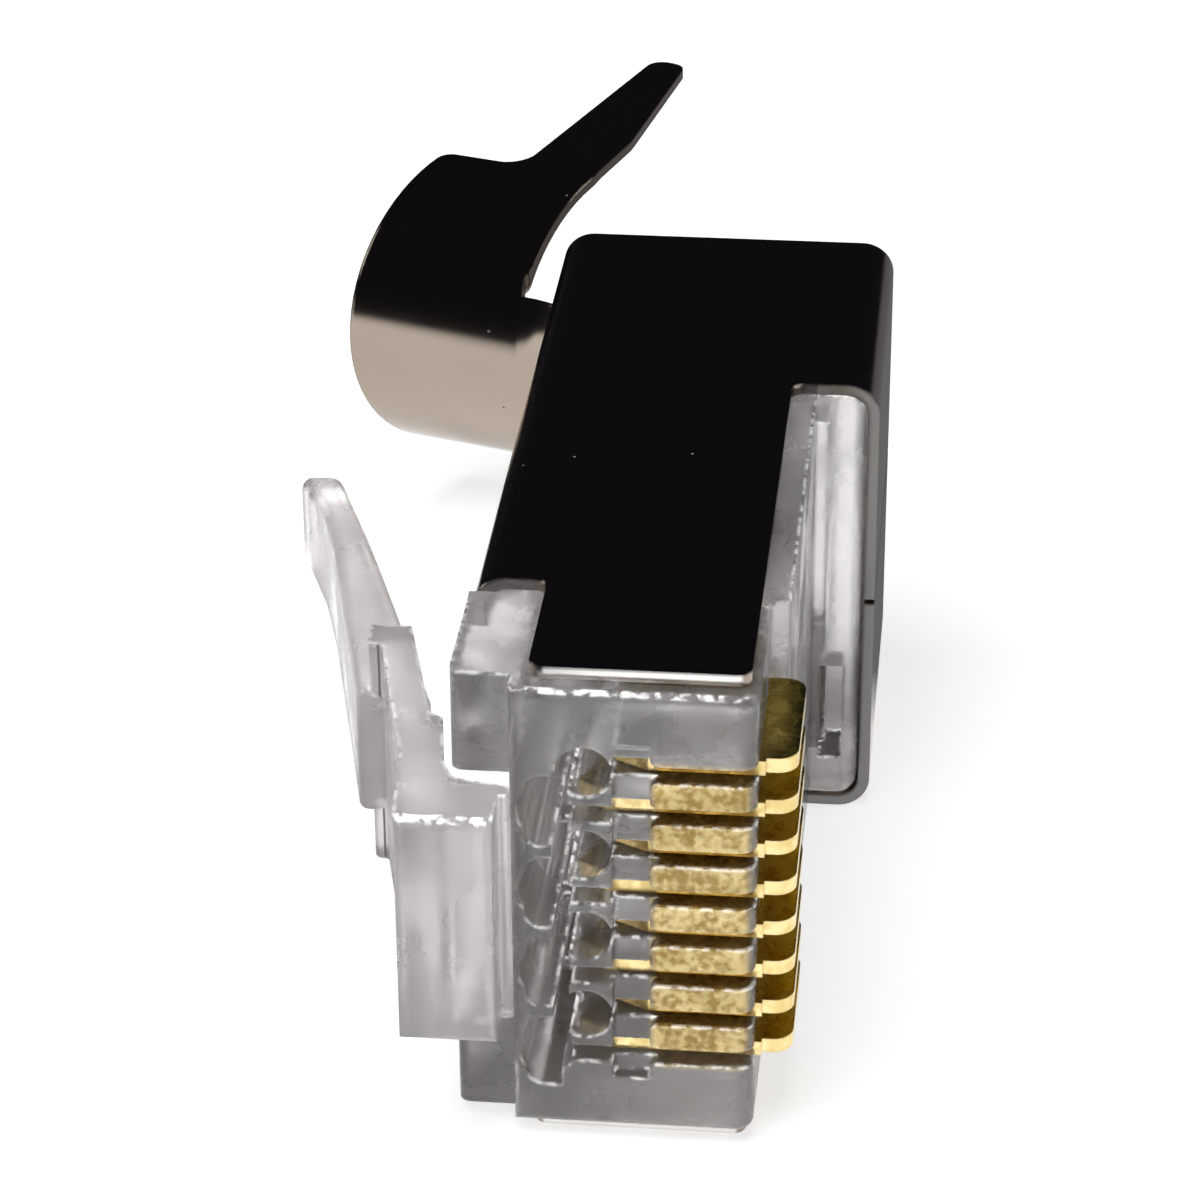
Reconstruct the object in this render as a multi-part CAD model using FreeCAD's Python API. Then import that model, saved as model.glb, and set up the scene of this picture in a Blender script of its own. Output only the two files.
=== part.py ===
"""Shielded eight-contact modular plug of the feed-through kind, lying on its side wall.

Frame, in millimetres: the origin is the middle of the nose's flat front face.
-Y is the nose, +Y the cable end, +X the contact side, -X the latch side, Z the width.
"""
import FreeCAD, Part
import math
import os

V = FreeCAD.Vector

# ---- Housing: overall sizes ------------------------------------------------------------------------
housing_width = 11.02          # across the contacts
nose_contact_x = 2.64          # contact side of the comb
body_contact_x = 3.05          # contact side of the body behind the blades
rear_contact_x = 4.23          # contact side of the taller rear body
nose_latch_x = -2.64           # latch side of the nose between the ledges
ledge_latch_x = -3.96          # latch side of the two ledges
rear_latch_x = -3.60           # latch side of the body under the shield
body_rise_y = 4.20             # where the body rises behind the blades
rear_step_y = 14.75             # front of the taller rear body
housing_rear_y = 22.6          # cable end of the housing
ledge_front_y = 0.65           # front of the two ledges
ledge_inner_z = 3.10           # inner side of each ledge, measured from the middle
nose_edge_radius = 0.22        # rounding round the nose's front face
comb_corner_radius = 0.40      # rounding of the comb's fingers at the nose
edge_radius = 0.28             # rounding of the other outer edges
latch_bay_rear_y = 14.4        # end of the bay that takes the pressed latch

# ---- Contacts --------------------------------------------------------------------------------------
contact_count = 8
contact_pitch = 1.02
blade_thickness = 0.35
blade_slot_clearance = 0.03    # each side of a blade in its slot
blade_front_y = 0.65
blade_rear_y = 4.10
blade_top_x = 3.45
blade_corner_radius = 0.45
blade_step_x = 2.78            # below this the blade's front edge stands further forward
blade_step = 0.14
prong_height = 0.75
prong_gap = 0.55
blade_seat_gap = 0.05          # under the blade's back bar

# ---- Comb and wire holes ---------------------------------------------------------------------------
finger_end_radius = 0.18
groove_depth = 0.36            # shallow groove across the inner ends of the comb's fingers
comb_inner_x = 0.37            # inner end of the comb's fingers
groove_inner_x = -0.44
wire_row_near_x = -1.04        # wire row under the odd contacts
wire_row_far_x = -1.90         # wire row under the even contacts
wire_hole_radius = 0.60
wire_slit_x = -1.57            # slit that joins the two rows at the front
wire_slit_width = 0.36
wire_bay_x = -2.36             # latch side of the bays in front of the far row of holes
wire_bay_half_height = 0.88
wire_bay_radius = 0.42
wire_bay_depth = 4.6
wire_channel_rear_y = 8.6
funnel_length = 2.2

# ---- Rear cavity for the cable ---------------------------------------------------------------------
cavity_half_width = 4.55
cavity_latch_x = -2.05
cavity_contact_x = 2.25
rear_cavity_latch_x = -2.75
rear_cavity_contact_x = 3.35
front_window_depth = 1.3       # blind pocket behind the step's front face
front_window_half_width = 2.6

# ---- Shield ----------------------------------------------------------------------------------------
sheet = 0.28
shield_clearance = 0.05
shield_front_y = 0.45
shield_notch_y = 4.27          # where the latch-side wall begins
shield_rear_y = 23.10
tongue_latch_x = -2.25         # latch-side edge of each side wall's front tongue
tongue_contact_x = 2.46        # contact-side edge of each side wall
fold_radius = 0.80             # outside radius of the long folds
cut_corner_radius = 0.30
contact_wall_front_y = 14.65
latch_cutout_half_width = 3.25
seam_gap = 0.12                # butt seam down the contact-side wall

# ---- Tail clip: neck, bend, barrel and finger ------------------------------------------------------
neck_half_width = 1.95
neck_root_half_width = 4.5     # where the neck leaves the shield
neck_length = 1.56             # from the shield's rear edge to the bend
clip_bend_deg = 73.0
clip_bend_radius = 2.60        # on the hollow side of the bend
barrel_radius = 4.36           # outside
barrel_length = 5.02
wing_near_s = 5.12             # near edge of the wings beside the neck
wing_far_s = 5.88              # near edge of the wings at the barrel's widest point
wing_notch = 0.30              # notch between each wing and the neck
barrel_arc_deg = 82.0          # each way from the barrel's back
barrel_end_slope = 0.345       # how far the cable end draws back towards the wing edges
wing_corner_radius = 0.48
finger_root_s = 3.68           # finger's far edge at its root, from the cable end of the barrel
finger_tip_reach = 8.1         # past the barrel's widest point
finger_tip_s = 4.06
finger_tip_width = 1.02
dimple_depth = 0.02
dimple_radius = 0.60

# ---- Latch -----------------------------------------------------------------------------------------
hinge_x = -2.80
hinge_y = 0.30
hinge_radius = 0.20
hinge_clearance = 0.03
latch_half_width = 2.85
tab_half_width = 1.62
latch_front_y = -1.00
latch_root_outer_x = -5.00
latch_root_inner_x = -2.88
plate_thickness = 0.75
latch_block_rear_y = 1.77      # where the root block ends and the wings begin
latch_block_flare = 0.23
latch_edge_radius = 0.28       # rounding of the block's front edges
latch_fine_radius = 0.10
throat_x = -4.23               # relief behind the hinge, clear of the body when pressed
throat_y = 1.44
heel_x = -3.95
heel_y = 0.75
heel_inner_y = 0.52
wing_inner_x = -4.79           # inner face of the wings where they leave the block
wing_inner_y = 3.46
wing_step_x = -4.47
wing_step_y = 3.22
wing_outer_x = -6.30           # outer face of the wings at the shoulder
shoulder_y = 7.30
shoulder_bar = 0.90
shoulder_inner_x = -5.74
shoulder_outer_x = -6.62
tab_length = 11.10              # from the shoulder to the tab's end
tab_root_outer_x = -6.92
tab_lean = 0.335               # how far the tab's inner face leans out for each mm back
tab_set_in = 0.22              # how far the tab's inner face stands out from the shoulder's
tab_tip_thickness = 1.00
tab_edge_radius = 0.30         # rounding of the tab's long edges
tab_end_half_width = 1.18      # the tab narrows towards its end
tab_end_radius = 1.05          # rounding of the tab's end, seen from its face
tab_waist_x = -8.57            # outer face at the waist, before the tip flares out
tab_waist_y = 13.43
tab_flare_x = -9.15
tab_flare_y = 15.44
tab_sweep_radius = 6.0

half_width = housing_width / 2.0
shield_half = half_width + shield_clearance + sheet
latch_wall_x = rear_latch_x - shield_clearance - sheet
contact_wall_x = rear_contact_x + shield_clearance + sheet


# ---- Helpers ---------------------------------------------------------------------------------------
def box(x0, x1, y0, y1, z0, z1):
    return Part.makeBox(x1 - x0, y1 - y0, z1 - z0, V(x0, y0, z0))


def outline(points):
    """Closed wire in the XY plane through (x, y, corner radius) points."""
    count = len(points)
    starts, arcs = [], []
    for i in range(count):
        x, y, radius = points[i]
        before = V(*points[i - 1][:2], 0) - V(x, y, 0)
        after = V(*points[(i + 1) % count][:2], 0) - V(x, y, 0)
        here = V(x, y, 0)
        turn = before.getAngle(after)
        if radius <= 0 or turn > math.pi - 1e-6:
            starts.append((here, here))
            arcs.append(None)
            continue
        reach = radius / math.tan(turn / 2.0)
        a = here + before.normalize() * reach
        b = here + after.normalize() * reach
        inward = (before + after).normalize()
        middle = here + inward * (radius / math.sin(turn / 2.0) - radius)
        starts.append((a, b))
        arcs.append(Part.Arc(a, middle, b).toShape())
    edges = []
    for i in range(count):
        if arcs[i] is not None:
            edges.append(arcs[i])
        a, b = starts[i][1], starts[(i + 1) % count][0]
        if a.distanceToPoint(b) > 1e-7:
            edges.append(Part.makeLine(a, b))
    return Part.Wire(edges)


def plate(points, z0, z1):
    """Outline in XY, raised from z0 to z1."""
    face = Part.Face(outline(points))
    solid = face.extrude(V(0, 0, z1 - z0))
    solid.translate(V(0, 0, z0))
    return solid


def bar_along_y(points, y0, y1):
    """Outline given as (x, z, radius), run from y0 to y1."""
    face = Part.Face(outline(points))
    face.rotate(V(0, 0, 0), V(1, 0, 0), 90)
    face.translate(V(0, y0, 0))
    return face.extrude(V(0, y1 - y0, 0))


def panel_along_x(points, x0, x1):
    """Outline given as (y, z, radius), run from x0 to x1."""
    face = Part.Face(outline(points))
    stand_up = FreeCAD.Matrix(0, 0, 1, 0, 1, 0, 0, 0, 0, 1, 0, 0, 0, 0, 0, 1)
    face = face.transformGeometry(stand_up)
    face.translate(V(x0, 0, 0))
    return face.extrude(V(x1 - x0, 0, 0))


def along_y(x, z, radius, y0, y1):
    return Part.makeCylinder(radius, y1 - y0, V(x, y0, z), V(0, 1, 0))


def fuse_all(solids):
    body = solids[0]
    if len(solids) > 1:
        body = body.multiFuse(solids[1:])
    return body.removeSplitter()


def save(name, shape):
    solids = shape.Solids
    if not shape.isValid() or not solids:
        raise ValueError("bad solid: " + name)
    shape.exportStep("parts/" + name + ".step")
    print(name, "solids", len(solids), "volume", round(shape.Volume, 3))


def contact_z(index):
    return (contact_count - 1) * contact_pitch / 2.0 - index * contact_pitch


def wire_row_x(index):
    return wire_row_near_x if index % 2 == 0 else wire_row_far_x


def prong_tip_x(index):
    return wire_row_x(index) + wire_hole_radius - 0.02


# ---- Housing ---------------------------------------------------------------------------------------
def housing_outside():
    h = half_width
    r = edge_radius
    side = [
        (nose_latch_x, 0, 0), (nose_contact_x, 0, comb_corner_radius),
        (nose_contact_x, body_rise_y, 0), (body_contact_x, body_rise_y + 0.25, 0.15),
        (body_contact_x, rear_step_y, 0), (rear_contact_x, rear_step_y, r),
        (rear_contact_x, housing_rear_y, 0), (rear_latch_x, housing_rear_y, 0),
        (rear_latch_x, latch_bay_rear_y, 0), (nose_latch_x, latch_bay_rear_y, 0),
    ]
    body = plate(side, -h, h)
    ledges = []
    for sign in (-1, 1):
        z0, z1 = sorted((sign * ledge_inner_z, sign * h))
        bare = plate([(nose_latch_x + 0.2, ledge_front_y, 0), (ledge_latch_x, ledge_front_y, r),
                      (ledge_latch_x, shield_notch_y - shield_clearance, 0),
                      (nose_latch_x + 0.2, shield_notch_y - shield_clearance, 0)], z0, z1)
        covered = box(rear_latch_x, nose_latch_x + 0.2, shield_notch_y - shield_clearance - 0.2,
                      latch_bay_rear_y + 0.2, z0, z1)
        ledges += [bare, covered]
    body = fuse_all([body] + ledges)
    # corners of the section: the folds of the shield run round the rear body
    inner_fold = fold_radius - sheet
    trims = []
    for sign in (-1, 1):
        z0, z1 = sorted((sign * (h - inner_fold), sign * (h + 1)))
        for x, toward, y0 in ((rear_latch_x, 1, shield_notch_y - shield_clearance), (rear_contact_x, -1, rear_step_y)):
            x0, x1 = sorted((x + toward * inner_fold, x - toward * 1.0))
            corner = box(x0, x1, y0, housing_rear_y, z0, z1)
            round_ = along_y(x + toward * inner_fold, sign * (h - inner_fold), inner_fold, y0 - 0.1, housing_rear_y + 0.1)
            trims.append(corner.cut(round_))
    return body.cut(Part.makeCompound(trims)).removeSplitter()


def nose_rounding(body):
    edges = []
    for edge in body.Edges:
        box_ = edge.BoundBox
        if box_.YMax > 1e-4 or edge.Length < 2 or box_.XMin > nose_contact_x - 2 * comb_corner_radius:
            continue
        if abs(box_.ZMin) > half_width - 0.01 and abs(box_.ZMax) > half_width - 0.01:
            edges.append(edge)
    return body.makeFillet(nose_edge_radius, edges) if edges else body


def housing_hollows():
    tools = []
    for i in range(contact_count):
        z = contact_z(i)
        half_slot = blade_thickness / 2.0 + blade_slot_clearance
        tools.append(box(prong_tip_x(i) - blade_seat_gap, blade_top_x, -0.5, body_rise_y - 0.02,
                         z - half_slot, z + half_slot))
        tools.append(along_y(wire_row_x(i), z, wire_hole_radius, -0.5, wire_channel_rear_y + funnel_length / 2.0))
    reach = contact_z(0) + wire_hole_radius
    # shallow groove across the inner ends of the comb's fingers, which are rounded off there
    finger_end = comb_inner_x + finger_end_radius
    groove = box(groove_inner_x, finger_end, -0.5, groove_depth, -reach, reach)
    half_finger = contact_pitch / 2.0 - blade_thickness / 2.0 - blade_slot_clearance
    fingers = []
    for i in range(contact_count + 1):
        low = contact_z(i) + contact_pitch / 2.0 - half_finger
        high = contact_z(i) + contact_pitch / 2.0 + half_finger
        if i == 0:
            high = reach + 1
        if i == contact_count:
            low = -reach - 1
        fingers.append(bar_along_y([(comb_inner_x, low, finger_end_radius), (finger_end + 1, low, 0),
                                    (finger_end + 1, high, 0), (comb_inner_x, high, finger_end_radius)],
                                   -1.0, groove_depth + 1.0))
    tools.append(groove.cut(Part.makeCompound(fingers)))
    # slit that joins the two rows of wire holes
    z_low = contact_z(contact_count - 1)
    tools.append(box(wire_slit_x - wire_slit_width / 2.0, wire_slit_x + wire_slit_width / 2.0,
                     -0.5, wire_channel_rear_y, z_low, contact_z(0)))
    # bays in the slit's far wall, one for each hole of the far row
    for i in range(1, contact_count, 2):
        z = contact_z(i)
        low, high = z - wire_bay_half_height, z + wire_bay_half_height
        tools.append(bar_along_y([(wire_bay_x, low, wire_bay_radius), (wire_slit_x, low, 0),
                                  (wire_slit_x, high, 0), (wire_bay_x, high, wire_bay_radius)],
                                 -0.5, wire_bay_depth))
    # cable room, with a funnel down to the wire channels
    w = cavity_half_width
    y0 = wire_channel_rear_y
    y1 = y0 + funnel_length
    mouth = [V(cavity_latch_x, y1, -w), V(cavity_contact_x, y1, -w), V(cavity_contact_x, y1, w), V(cavity_latch_x, y1, w)]
    near = wire_row_near_x + wire_hole_radius
    far = wire_row_far_x
    throat = [V(far, y0, -reach), V(near, y0, -reach), V(near, y0, reach), V(far, y0, reach)]
    rings = [Part.makePolygon(ring + [ring[0]]) for ring in (throat, mouth)]
    tools.append(Part.makeLoft(rings, True, True))
    tools.append(box(cavity_latch_x, cavity_contact_x, y1 - 0.01, rear_step_y + 0.8, -w, w))
    tools.append(box(rear_cavity_latch_x, rear_cavity_contact_x, rear_step_y + 0.8, housing_rear_y + 1, -w, w))
    # window in the step's front face
    fw = front_window_half_width
    tools.append(box(body_contact_x + 0.2, rear_contact_x - 0.4, rear_step_y - 0.5, rear_step_y + front_window_depth,
                     -half_width + 1.0, -half_width + 1.0 + fw))
    return tools


def hinge_groove():
    length = 2 * (latch_half_width + hinge_clearance * 2)
    return Part.makeCylinder(hinge_radius + hinge_clearance, length, V(hinge_x, hinge_y, -length / 2.0), V(0, 0, 1))


def make_housing():
    body = housing_outside()
    body = nose_rounding(body)
    body = body.cut(Part.makeCompound([hinge_groove()]))
    for tool in housing_hollows():
        body = body.cut(tool)
    return body.removeSplitter()


# ---- Contacts --------------------------------------------------------------------------------------
def make_contact(index):
    """Flat blade: a back bar with a rounded top and two piercing prongs."""
    tip = prong_tip_x(index)
    root = tip + prong_height
    y0, y1 = blade_front_y, blade_rear_y
    middle = (y0 + y1) / 2.0
    r = blade_corner_radius
    points = [
        (root, y0 - blade_step, 0), (blade_step_x, y0 - blade_step, 0), (blade_step_x, y0, 0),
        (blade_top_x, y0, r), (blade_top_x, y1, r), (root, y1, 0),
        (tip, y1 - 0.35, 0), (root, middle + prong_gap / 2.0, 0),
        (root, middle - prong_gap / 2.0, 0), (tip, y0 + 0.25, 0),
    ]
    z = contact_z(index)
    return plate(points, z - blade_thickness / 2.0, z + blade_thickness / 2.0)


# ---- Shield ----------------------------------------------------------------------------------------
def shield_tube():
    """Folded sheet round the housing, before its edges are cut to shape."""
    w, r, t = shield_half, fold_radius, sheet
    outer = [(latch_wall_x, -w, r), (contact_wall_x, -w, r), (contact_wall_x, w, r), (latch_wall_x, w, r)]
    inner = [(latch_wall_x + t, -w + t, r - t), (contact_wall_x - t, -w + t, r - t),
             (contact_wall_x - t, w - t, r - t), (latch_wall_x + t, w - t, r - t)]
    tube = bar_along_y(outer, shield_front_y, shield_rear_y)
    return tube.cut(bar_along_y(inner, shield_front_y - 1, shield_rear_y + 1))


def shield_side_pattern():
    """Outline of both side walls, seen along Z; what lies outside it is cut away."""
    c = cut_corner_radius
    far = 2.0
    return [
        (tongue_latch_x, shield_front_y, c), (tongue_contact_x, shield_front_y, c),
        (tongue_contact_x, contact_wall_front_y, c),
        (contact_wall_x + far, contact_wall_front_y, 0), (contact_wall_x + far, shield_rear_y, 0),
        (latch_wall_x - far, shield_rear_y, 0), (latch_wall_x - far, shield_notch_y, 0),
        (tongue_latch_x, shield_notch_y, c),
    ]


def latch_cutout():
    """Slot in the latch-side wall that lets the pressed latch through."""
    half = latch_cutout_half_width
    y1 = latch_bay_rear_y - 0.2
    points = [(shield_front_y - 1, -half, 0), (y1, -half, 2 * cut_corner_radius),
              (y1, half, 2 * cut_corner_radius), (shield_front_y - 1, half, 0)]
    return panel_along_x(points, latch_wall_x - 1.0, latch_wall_x + 1.0)


def neck_section(curved, y, w):
    """Section of the neck across Y, flat or rolled to the barrel's radius; w is its half width."""
    x, t = latch_wall_x, sheet
    if not curved:
        points = [V(x, y, -w), V(x + t, y, -w), V(x + t, y, w), V(x, y, w)]
        edges = [Part.makeLine(points[i], points[(i + 1) % 4]) for i in range(4)]
        return Part.Wire(edges)
    axis_x = x + barrel_radius
    half = math.asin(w / barrel_radius)

    def at(radius, angle):
        return V(axis_x - radius * math.cos(angle), y, radius * math.sin(angle))

    ro, ri = barrel_radius, barrel_radius - t
    outer = Part.Arc(at(ro, half), at(ro, 0), at(ro, -half)).toShape()
    inner = Part.Arc(at(ri, -half), at(ri, 0), at(ri, half)).toShape()
    ends = [Part.makeLine(at(ro, -half), at(ri, -half)), Part.makeLine(at(ri, half), at(ro, half))]
    return Part.Wire([outer, ends[0], inner, ends[1]])


def wing_outline(with_finger):
    """Barrel seen from above: s runs back from the cable end, p across towards the wings' edges."""
    margin = 2 * sheet
    back = -barrel_radius - margin
    edge = -barrel_radius * math.cos(math.radians(barrel_arc_deg))
    notch = -math.sqrt(barrel_radius ** 2 - neck_half_width ** 2) + wing_notch
    slope = barrel_end_slope
    end_s = slope * (barrel_radius + edge)
    points = [(barrel_length, back, 0), (-slope * margin, back, 0), (end_s, edge, wing_corner_radius)]
    if with_finger:
        tip = finger_tip_reach
        r = finger_tip_width * 0.46
        points += [
            (finger_root_s, edge, 1.6 * wing_corner_radius), (finger_tip_s, tip, r),
            (finger_tip_s + finger_tip_width, tip - r / 4.0, r),
            (wing_far_s - wing_notch / 6.0, tip / 4.0, tip / 2.5),
            (wing_far_s - wing_notch / 4.0, edge, 3.0 * wing_corner_radius),
        ]
    else:
        points += [(wing_far_s, edge, wing_corner_radius)]
    points += [(wing_near_s, notch, sheet / 2.0), (barrel_length, notch, 0)]
    return points


def barrel_flat():
    """Barrel in line with the neck, before the bend: its axis runs along +Y."""
    ro, ri = barrel_radius, barrel_radius - sheet
    axis_x = latch_wall_x + ro
    y1 = shield_rear_y + neck_length + barrel_length
    y0 = y1 - wing_far_s - wing_notch
    straight = finger_tip_reach + 1.0
    ring = along_y(axis_x, 0, ro, y0, y1).cut(along_y(axis_x, 0, ri, y0 - 1, y1 + 1))
    ring = ring.cut(box(axis_x, axis_x + ro + 1, y0 - 1, y1 + 1, -ro - 1, ro + 1))
    arm = box(axis_x, axis_x + straight, y0, y1, ri, ro)
    shell = fuse_all([ring, arm])
    cutters = []
    for with_finger, z0, z1 in ((True, 0.0, ro + 1), (False, -ro - 1, 0.0)):
        points = [(axis_x + p, y1 - s, r) for s, p, r in wing_outline(with_finger)]
        cutters.append(plate(points, z0, z1))
    return shell.common(fuse_all(cutters)).removeSplitter()


def make_dimple(axis_x, y1):
    """Shallow round dent in the barrel's back."""
    angle = math.radians(24)
    ball = (dimple_radius ** 2 + dimple_depth ** 2) / (2 * dimple_depth)
    reach = barrel_radius + ball - dimple_depth
    centre = V(axis_x - reach * math.cos(angle), y1 - 3.0, reach * math.sin(angle))
    return Part.makeSphere(ball, centre)


def make_shield():
    tube = shield_tube()
    pattern = plate(shield_side_pattern(), -shield_half - 1, shield_half + 1)
    tube = tube.common(pattern).cut(latch_cutout())
    seam = box(contact_wall_x - 1, contact_wall_x + 1, contact_wall_front_y - 1, shield_rear_y + 1,
               -seam_gap / 2.0, seam_gap / 2.0)
    tube = tube.cut(seam)
    bend_y = shield_rear_y + neck_length
    # flat start overlaps the wall, then the strip narrows and rolls towards the barrel's curve
    w0, w1 = neck_root_half_width, neck_half_width
    root_y = shield_rear_y + sheet / 2.0
    flat_part = box(latch_wall_x, latch_wall_x + sheet, shield_rear_y - sheet, root_y, -w0, w0)
    roll = Part.makeLoft([neck_section(False, root_y, w0), neck_section(True, bend_y, w1)], True, True)
    centre = V(latch_wall_x - clip_bend_radius, bend_y, 0)
    bend = Part.Face(neck_section(True, bend_y, w1)).revolve(centre, V(0, 0, 1), clip_bend_deg)
    barrel = barrel_flat()
    axis_x = latch_wall_x + barrel_radius
    barrel = barrel.cut(make_dimple(axis_x, bend_y + barrel_length))
    barrel.rotate(centre, V(0, 0, 1), clip_bend_deg)
    return fuse_all([tube, flat_part, roll, bend, barrel])


# ---- Latch -----------------------------------------------------------------------------------------
def latch_side():
    """Outline of the block, wings and shoulder, seen along Z."""
    r, fine = latch_edge_radius, latch_fine_radius
    bar_y = shoulder_y - shoulder_bar
    return [
        (latch_root_inner_x, latch_front_y, 1.8 * fine), (latch_root_outer_x, latch_front_y, r),
        (latch_root_outer_x - latch_block_flare, latch_block_rear_y, 3 * r), (wing_outer_x, bar_y, fine),
        (shoulder_outer_x, bar_y - fine, 2.2 * fine), (shoulder_outer_x - fine / 2.0, shoulder_y, fine),
        (shoulder_inner_x, shoulder_y, 0.8 * fine), (wing_inner_x, wing_inner_y, fine),
        (wing_step_x, wing_step_y, fine), (throat_x, throat_y, r),
        (heel_x, heel_y, r), (latch_root_inner_x, heel_inner_y, fine),
    ]


def tab_side():
    """Outline of the thumb tab, seen along Z: its inner face is straight and leans outwards."""
    tip_y = shoulder_y + tab_length
    root_y = shoulder_y - shoulder_bar

    def inner(y):
        return shoulder_inner_x + tab_set_in - tab_lean * (y - shoulder_y)

    end = tab_tip_thickness
    return [
        (inner(root_y), root_y, 0), (tab_root_outer_x, root_y - latch_fine_radius, 1.5 * latch_fine_radius),
        (tab_waist_x, tab_waist_y, tab_sweep_radius), (tab_flare_x, tab_flare_y, tab_sweep_radius / 4.0),
        (inner(tip_y) - end, tip_y - 0.3 * end, 0.45 * end), (inner(tip_y), tip_y, 0.35 * end),
    ]


def make_latch():
    w = latch_half_width
    body = plate(latch_side(), -w, w)
    # seen from above, the block's two front corners are rounded off
    r, rear = latch_edge_radius, shoulder_y + shoulder_bar
    above = panel_along_x([(latch_front_y, -w, r), (rear, -w, 0), (rear, w, 0), (latch_front_y, w, r)],
                          2 * shoulder_outer_x, 0.0)
    body = body.common(above)
    tab = plate(tab_side(), -tab_half_width, tab_half_width)
    root_y = shoulder_y - 2 * shoulder_bar
    tip_y = shoulder_y + tab_length
    half, r = tab_half_width, tab_end_radius
    tip = tab_end_half_width
    end = panel_along_x([(root_y, -half, 0), (tab_waist_y, -half, half), (tip_y, -tip, r),
                         (tip_y, tip, r), (tab_waist_y, half, half), (root_y, half, 0)],
                        2 * tab_flare_x, 0.0)
    tab = tab.common(end)
    # the rim of the outer face, all round the tab's free length, is rounded over
    rim = []
    for edge in tab.Edges:
        bound = edge.BoundBox
        across = bound.YLength < 1e-4
        both_sides = bound.ZMin < 0.0 and bound.ZMax > 0.0
        if bound.YMax > shoulder_y and not across and not both_sides:
            rim.append(edge)
    tab = tab.makeFillet(tab_edge_radius, rim)
    bead = Part.makeCylinder(hinge_radius, 2 * w, V(hinge_x, hinge_y, -w), V(0, 0, 1))
    return fuse_all([body, tab, bead])


def main():
    os.makedirs("parts", exist_ok=True)
    save("housing", make_housing())
    for i in range(contact_count):
        save("contact_%d" % (i + 1), make_contact(i))
    save("shield", make_shield())
    save("latch_lever", make_latch())


main()
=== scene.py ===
import math

import bpy
from bpy.props import BoolProperty, FloatProperty, FloatVectorProperty, PointerProperty
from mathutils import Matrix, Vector


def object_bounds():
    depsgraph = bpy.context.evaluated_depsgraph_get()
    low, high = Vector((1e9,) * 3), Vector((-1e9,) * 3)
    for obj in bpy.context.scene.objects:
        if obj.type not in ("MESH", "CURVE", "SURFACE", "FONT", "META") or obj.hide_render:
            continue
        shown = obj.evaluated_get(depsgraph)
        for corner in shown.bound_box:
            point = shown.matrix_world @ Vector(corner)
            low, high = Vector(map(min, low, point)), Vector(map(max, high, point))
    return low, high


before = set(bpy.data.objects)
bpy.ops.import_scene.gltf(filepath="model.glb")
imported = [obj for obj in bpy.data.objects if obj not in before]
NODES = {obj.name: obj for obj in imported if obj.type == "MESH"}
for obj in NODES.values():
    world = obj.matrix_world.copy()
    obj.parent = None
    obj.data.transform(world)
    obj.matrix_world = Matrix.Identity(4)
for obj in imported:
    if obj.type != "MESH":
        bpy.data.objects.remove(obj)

bl_info = {
    "name": "Shielded Modular Plug",
    "version": (1, 0, 0),
    "blender": (4, 5, 0),
    "location": "3D View > Sidebar > Modular Plug",
    "description": "Finishes a clear modular plug with gold contacts and a nickel-plated shield",
    "category": "Object",
}

CAD_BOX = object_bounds()
MM = 0.001
CONTACTS = sorted(name for name in NODES if name.startswith("contact_"))

# Places on the plug, in metres: +Y runs back from the nose, +X is the contacts' side
NOSE_REAR = 3.0 * MM             # the sheet's forward cut edges get the bright colour, partly a painted highlight, in front of this, and a painted shade behind it
SHIELD_BODY_REAR = 23.5 * MM     # the tail clip lies behind this
GOLD_INNER_X = 0.30 * MM         # the painted gold reflection and painted glow show in the comb's fingers between these
GOLD_OUTER_X = 2.60 * MM
GOLD_HALF_HEIGHT = 3.9 * MM
GOLD_REAR_Y = 4.2 * MM

# Shares and directions that the surfaces use
FORWARDS_AND_UP = (0.0, -0.62, 0.785)   # the way the sparkling roundings face
CAUGHT_GOLD = 0.42               # share of the painted gold that glows as emission on the fingers' fronts
FROST_REACH = 0.30               # how far frosting lowers the patches' threshold
HOUSING_FROSTING = 0.6           # 0 is polished and 1 is frosted all over
LATCH_FROSTING = 0.9
MOST_SPECKS = 0.1                # share of the dust cells that hold a speck when Dust is 1
CLOUD_TONE = 0.93                # the plating's darker clouds, as a share of its colour ...
CLOUD_ROUGHNESS = 0.05           # ... and how much rougher they are
STAIN_TONE = 0.8                 # the blades' stains, as a share of the flanks' darker gold ...
STAIN_SHARE = 0.4                # ... how much of them shows ...
STAIN_ROUGHNESS = 0.2            # ... and how much rougher they are

# The camera: place in metres, turn in degrees, lens and sensor in millimetres
CAMERA_PLACE = (0.00707464, -0.07434572, 0.04833952)
CAMERA_TURN = (61.48149, 0.29665, 5.77971)
CAMERA_LENS = 124.0
CAMERA_SENSOR = 36.0
CAMERA_NEAR, CAMERA_FAR = 0.005, 20.0

# Lamps: name, place, width, share of the key lamp's power, shown in the plating
KEY_LAMP = ("key_lamp", (-0.05, -0.06, 0.26), 0.22, 1.0, False)
SIDE_LAMPS = (("left_lamp", (-0.24, 0.04, 0.10), 0.12, 0.30, True),
              ("right_lamp", (0.26, 0.06, 0.12), 0.10, 0.22, True))
LAMP_TARGET = Vector((0.0, 0.012, 0.0))

# The table and the black card just above it, in metres
TABLE_REACH = 3.0
CARD_REACH = 2.5
CARD_LIFT = 0.3 * MM
CARD_NEAR_X = -0.003             # the card's dark part lies left of this ...
CARD_SLANT = 0.51                # ... and in front of the line y = offset + slant * x
CARD_OFFSET_Y = 0.0218
CARD_REAR_Y = 0.0325             # everything behind this is covered as well
CARD_REAR_RIGHT_Y = 0.018        # and so is what lies behind this on the contacts' side
CARD_LINE_SOFTNESS = 12 * MM
CARD_EDGE_SOFTNESS = 3 * MM
CARD_RIGHT_START = 1 * MM        # the contacts' side starts here, and the card turns grey
CARD_RIGHT_SOFTNESS = 2 * MM


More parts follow.
